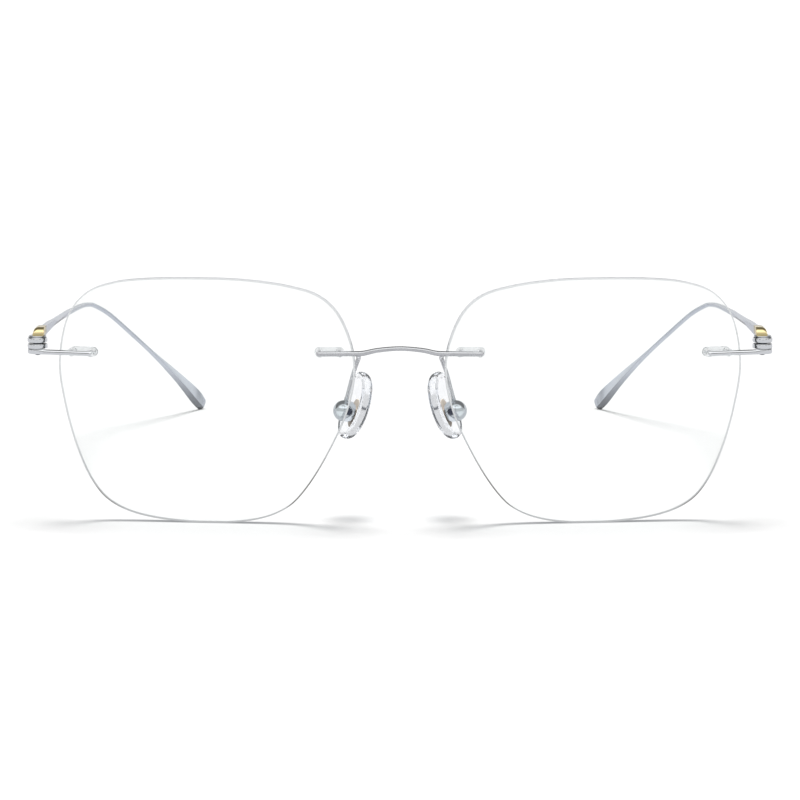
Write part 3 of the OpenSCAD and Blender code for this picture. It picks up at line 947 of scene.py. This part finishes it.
def ridged_oval(half_w, half_h, square, ridge, low):
    """Section of a temple; ridge blends it from an oval to a kite, its inner edge low down."""
    quarter = 12
    corners = [(0.75, 0.0), (-0.1, 1.0), (-1.0, -low), (0.0, -1.0)]
    plain = oval(half_w, half_h, 4 * quarter, square)
    points = []
    for k in range(4):
        a, b = corners[k], corners[(k + 1) % 4]
        for i in range(quarter):
            t = i / quarter
            x = half_w * (a[0] + (b[0] - a[0]) * t)
            z = half_h * (a[1] + (b[1] - a[1]) * t)
            p = plain[k * quarter + i]
            points.append((p[0] + (x - p[0]) * ridge, p[1] + (z - p[1]) * ridge))
    return points


# ---- nose pads -----------------------------------------------------------------------------


def cup_axis_shape(profile):
    """Turns (radius, distance out) points about the cup's own axis."""
    verts, faces = lathe(profile, 56)
    verts = [(v[2], v[0], v[1]) for v in verts]
    origin, axes = pad_axes(0, 0, -CUP_HANG)
    return Shape().add(verts, faces).placed(origin, axes)


def cup(side):
    """Round-ended cup, open towards the pad, with a cross hole for the screw."""
    inner = CUP_R - CUP_WALL
    lip, pole = 0.08, 0.02
    centre = CUP_RIM + CUP_L
    outside = [(centre + CUP_R * math.sin(math.radians(a)), CUP_R * math.cos(math.radians(a)))
               for a in range(0, 88, 6)]
    inside_dome = [(centre + inner * math.sin(math.radians(a)),
                    inner * math.cos(math.radians(a))) for a in range(0, 88, 8)]
    profile = [(pole, centre + inner)]
    profile += [(r, x) for x, r in reversed(inside_dome)]
    profile += [(inner, CUP_RIM + lip), (inner + lip, CUP_RIM), (CUP_R - lip, CUP_RIM),
                (CUP_R - lip * 0.3, CUP_RIM + lip * 0.3), (CUP_R, CUP_RIM + lip)]
    profile += [(r, x) for x, r in outside]
    profile += [(pole, centre + CUP_R)]
    body = finish_mesh(f"pad_cup_chrome_{side}", cup_axis_shape(profile), side, [CHROME], 50)
    origin, axes = pad_axes(SCREW_OUT, 0, -CUP_HANG)
    beyond = 3
    cutters = []
    for radius, end in ((SCREW_R + FIT, beyond), (SCREW_HEAD_R + 0.04, -CUP_R + 0.3)):
        hole = rod([(radius, -beyond), (radius, end)], 32, origin, axes)
        cutters.append(finish_mesh("hole", hole, side, [CHROME]))
    return cut_from(body, cutters)


def pad_arm(side, bridge_y, bridge_z):
    """Wire from the back of the bridge down past the lens to the top of the cup."""
    dome = pad_axes(CUP_RIM + CUP_L, 0, -CUP_HANG)[0]
    knots = [
        [7.95, bridge_y + 0.62, bridge_z - 0.25, 0.48, 0.48],
        [7.86, 1.4, bridge_z - 1.1, 0.44, 0.44],
        [8.25, 3.15, bridge_z - 2.4, 0.42, 0.42],
        [9.1, 5.2, bridge_z - 5.1, 0.42, 0.42],
        [dome[0] - 0.5, dome[1] - 0.1, dome[2] + CUP_R * 0.95, 0.4, 0.4],
    ]
    line = open_curve(knots, 12)
    return finish_mesh(f"pad_arm_wire_{side}", Shape().add(*tube(line, 28)), side, [SATIN])


PAD_POINTS = 72


def pad_loop(x, inset):
    """Closed loop round the pad at x out, moved in from its outline by inset."""
    half_w, half_l = PAD_W / 2, PAD_L / 2
    limit = 2.2
    if inset <= limit:
        w, l, square = half_w - inset, half_l - inset, 2.3
    else:
        s = (half_w - inset) / (half_w - limit)
        w, l, square = (half_w - limit) * s, (half_l - limit) * s, 2.2
    return [(x, y, z) for y, z in oval(w, l, PAD_POINTS, square)]


def silicone_pad(side):
    """Crowned clear pad, hollow at the back round the cup, with a seat for its core."""
    # x out and distance in from the outline
    outer = open_curve([(-1.43, 3.9), (-1.42, 3.0), (-1.38, 2.2), (-1.12, 1.15), (-0.62, 0.35),
                        (0, 0.02), (0.55, 0.06), (0.98, 0.3), (1.28, 0.62), (1.38, 0.86)], 5)
    inner = open_curve([(1.38, 0.86), (1.34, 1.04), (1.15, 1.16), (0.8, 1.2), (0.46, 1.26),
                        (0.32, 1.5), (0.3, 2.0)], 4)
    loops = [pad_loop(x, inset) for x, inset in outer]
    loops += [pad_loop(x, inset) for x, inset in inner[1:]]
    origin, axes = pad_axes()

    def seat(x, grow):
        return [(x, y, z - CUP_HANG)
                for y, z in oval(CORE_W / 2 + grow, CORE_L / 2 + grow, PAD_POINTS)]

    loops = [[(x + PAD_BOW * z * z, y, z) for x, y, z in loop] for loop in loops]
    loops += [seat(0.3, 0.1), seat(0.26, 0.02), seat(-0.22, 0.02)]
    shape = Shape().add(*loft(loops)).placed(origin, axes)
    return finish_mesh(f"nose_pad_silicone_{side}", shape, side, [SILICONE], 60)


def core(side):
    """Tan plate set in the pad, with the tongue that the screw passes through."""
    origin, axes = pad_axes(0, 0, -CUP_HANG)
    loops = []
    for shrink, x in ((0.1, -0.24), (0, -0.14), (0, 0.16), (0.12, 0.28)):
        loops.append([(x, y, z)
                      for y, z in oval(CORE_W / 2 - shrink, CORE_L / 2 - shrink, 56)])
    plate = finish_mesh(f"pad_core_tan_{side}", Shape().add(*loft(loops)).placed(origin, axes),
                        side, [CORE])
    r, half, chamfer = 0.85, 0.75, 0.08
    outline = [(0, -r)] + arc(SCREW_OUT, 0, r, -90, 90, 16) + [(0, r)]
    loops = []
    for y, shrink in ((-half, chamfer), (chamfer - half, 0), (half - chamfer, 0),
                      (half, chamfer)):
        loops.append([(min(x, SCREW_OUT + r - shrink), y, z * (1 - shrink / r))
                      for x, z in outline])
    tongue = finish_mesh("tongue", Shape().add(*loft(loops)).placed(origin, axes), side, [CORE])
    body = joined(f"pad_core_tan_{side}", [plate, tongue])
    hole_r, beyond = SCREW_R + 0.05, 2
    hole = rod([(hole_r, -beyond), (hole_r, beyond)], 32, origin, axes, SCREW_OUT)
    return cut_from(body, [finish_mesh("hole", hole, side, [CORE])])


def screw(side):
    """Cheese-head screw with a slot, its head in the cup's counterbore."""
    origin, axes = pad_axes(SCREW_OUT, 0, -CUP_HANG)
    head_y, shoulder_y, tip_y, bevel = -CUP_R - 0.05, -CUP_R + 0.28, CUP_R - 0.1, 0.06
    profile = [(SCREW_HEAD_R - bevel, head_y), (SCREW_HEAD_R, head_y + bevel),
               (SCREW_HEAD_R, shoulder_y), (SCREW_R, shoulder_y), (SCREW_R, tip_y - bevel),
               (SCREW_R - bevel, tip_y)]
    # Near black as painted shade in the cup's counterbore.
    body = finish_mesh(f"pad_screw_steel_{side}", rod(profile, 40, origin, axes), side, [NEAR_BLACK_SHADE])
    long, half, depth, above = 1, 0.08, 0.13, 0.5
    outline = [(-long, -half), (long, -half), (long, half), (-long, half)]
    loops = [[(x, y, z) for x, z in outline] for y in (head_y - above, head_y + depth)]
    slot = finish_mesh("slot", Shape().add(*loft(loops)).placed(origin, axes), side, [NEAR_BLACK_SHADE])
    return cut_from(body, [slot])


# ---- build everything ------------------------------------------------------------------------


def stands_for(obj, body, node):
    """Shows the object instead of a CAD node, on that node's body."""
    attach(obj, body)
    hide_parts(node)


bridge_obj, BRIDGE_Y, BRIDGE_Z = bridge()
stands_for(bridge_obj, "front", "bridge")
for tag in SIDES:
    stands_for(lens(tag), "front", f"lens_{tag}")
    stands_for(endpiece(tag), "front", f"endpiece_{tag}")
    stands_for(bushing(tag, f"nasal_plug_{tag}", NASAL), "front",
               f"nasal_bushing_{tag}")
    stands_for(bushing(tag, f"temporal_plug_{tag}", TEMPORAL), "front",
               f"temporal_bushing_{tag}")
    stands_for(pad_arm(tag, BRIDGE_Y, BRIDGE_Z), "front", f"pad_arm_{tag}")
    stands_for(cup(tag), "front", f"pad_cup_{tag}")
    stands_for(screw(tag), "front", f"pad_screw_{tag}")
    stands_for(core(tag), f"{tag}_pad", f"pad_core_{tag}")
    stands_for(silicone_pad(tag), f"{tag}_pad", f"nose_pad_{tag}")
    washer_obj, pin_obj = hinge_parts(tag)
    stands_for(washer_obj, f"{tag}_temple", f"hinge_washer_{tag}")
    stands_for(pin_obj, f"{tag}_temple", f"hinge_pin_{tag}")
    stands_for(block(tag), f"{tag}_temple", f"hinge_block_{tag}")
    stands_for(temple(tag), f"{tag}_temple", f"temple_{tag}")

# ---- floor, light and camera -----------------------------------------------------------------

FLOOR_SEEN = (0.327, 0.327, 0.327)      # grey that the lamp turns white
FLOOR_MIRRORED = (0.20, 0.20, 0.205)
LAMP, LAMP_ANGLE, LAMP_TILT = 8.0, 22, 12
FRONT_GREY, BACK_WHITE, BACKDROP = 0.8, 1.0, 1.2
SOFTBOX = 0.9
FLAG_DARK, CAMERA_DARK, SIDE_DARK, CARD_DARK = 0.8, 0.5, 0.6, 0.92
CAMERA_DISTANCE, CAMERA_PITCH, CAMERA_LENS = 500, math.radians(9.3), 118.6
CAMERA_AIM = (0.6, 24.2)                # behind the lenses' front and above the table


def floor():
    """White table. Metal mirrors it a little darker than it looks, as if seen past the set."""
    r = 30.0
    mesh = bpy.data.meshes.new("floor")
    mesh.from_pydata([(-r, -r, 0), (r, -r, 0), (r, r, 0), (-r, r, 0)], [], [[0, 1, 2, 3]])
    obj = bpy.data.objects.new("floor", mesh)
    bpy.context.scene.collection.objects.link(obj)
    m = Nodes(bpy.data.materials.new("white_floor"))
    path = m.new("ShaderNodeLightPath")
    indirect = m.maths("MAXIMUM", path.outputs["Is Glossy Ray"], path.outputs["Is Diffuse Ray"])
    mirrored = m.maths("SUBTRACT", indirect, path.outputs["Is Transmission Ray"], clamp=True)
    body = m.new("ShaderNodeBsdfDiffuse")
    m.link(m.colours(mirrored, FLOOR_SEEN, FLOOR_MIRRORED, 0, 1), body.inputs["Color"])
    mesh.materials.append(m.output("ShaderNodeOutputMaterial", body.outputs[0]))


def studio():
    """Surround for reflections: white behind, a softbox in front, dark flags and cards."""
    world = bpy.data.worlds.new("studio")
    bpy.context.scene.world = world
    m = Nodes(world)
    x, y, z = (m.axis(m.coords.outputs["Generated"], name) for name in "XYZ")
    side = m.maths("ABSOLUTE", x, 0)
    path = m.new("ShaderNodeLightPath")
    reflected = m.maths("SUBTRACT", path.outputs["Is Glossy Ray"],
                        path.outputs["Is Transmission Ray"], clamp=True)

    def fade(value, start, end, first=0, last=1):
        """Smooth change from first, at start, to last, at end."""
        if start > end:
            start, end, first, last = end, start, last, first
        return m.ramp(value, first, last, start, end, "SMOOTHSTEP")

    def band(value, low, high):
        """1 between low and high, with soft edges."""
        soft = 0.04
        return m.times(fade(value, low, low + soft), fade(value, high, high - soft))

    def darken(light, mask, amount):
        """Takes amount of the light away inside the mask, in reflections only."""
        return m.times(light, m.maths("SUBTRACT", 1, m.times(mask, amount, reflected)))

    surround = fade(y, -0.3, 0.2, FRONT_GREY, BACK_WHITE)
    top_flag = m.times(fade(y, -0.12, 0.0), fade(z, 0.26, 0.40))
    surround = darken(surround, top_flag, FLAG_DARK)
    softbox = m.times(fade(y, -0.2, -0.3), fade(z, 0.5, 0.6), SOFTBOX)
    surround = m.maths("ADD", surround, softbox)
    surround = darken(surround, fade(y, -0.975, -0.99), CAMERA_DARK)
    surround = darken(surround, band(side, 0.86, 0.97), SIDE_DARK)
    front_card = m.times(band(side, 0.46, 0.72), band(z, 0.04, 0.44), fade(y, 0, -0.1))
    surround = darken(surround, front_card, CARD_DARK)
    mix = m.new("ShaderNodeMix", data_type="FLOAT")
    m.link(path.outputs["Is Camera Ray"], mix.inputs["Factor"])
    m.link(surround, mix.inputs["A"])
    mix.inputs["B"].default_value = BACKDROP
    back = m.new("ShaderNodeBackground")
    m.link(mix.outputs["Result"], back.inputs["Strength"])
    m.output("ShaderNodeOutputWorld", back.outputs[0])


def lamp():
    """Soft overhead light, a little behind the object. Metal and glass don't mirror it."""
    data = bpy.data.lights.new("lamp", "SUN")
    data.energy = LAMP
    data.angle = math.radians(LAMP_ANGLE)
    obj = bpy.data.objects.new("lamp", data)
    obj.rotation_euler = (-math.radians(LAMP_TILT), 0, 0)
    obj.visible_glossy = False
    obj.visible_transmission = False
    bpy.context.scene.collection.objects.link(obj)


def camera():
    """Long lens in front of the bridge, looking a little down."""
    data = bpy.data.cameras.new("camera")
    data.lens = CAMERA_LENS
    data.sensor_width = 36
    data.clip_end = 100
    obj = bpy.data.objects.new("camera", data)
    behind, above = CAMERA_AIM
    aim = Vector((0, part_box("lens_left")[0].y + behind * MM, above * MM))
    away = Vector((0, -math.cos(CAMERA_PITCH), math.sin(CAMERA_PITCH)))
    obj.location = aim + CAMERA_DISTANCE * MM * away
    obj.rotation_euler = (math.pi / 2 - CAMERA_PITCH, 0, 0)
    bpy.context.scene.collection.objects.link(obj)
    bpy.context.scene.camera = obj


floor()
studio()
lamp()
camera()

scene = bpy.context.scene
scene.view_settings.view_transform = "Standard"
scene.cycles.max_bounces = 16
scene.cycles.transmission_bounces = 14
scene.cycles.transparent_max_bounces = 24
scene.cycles.sample_clamp_indirect = 6
scene.cycles.caustics_reflective = False
scene.cycles.caustics_refractive = False
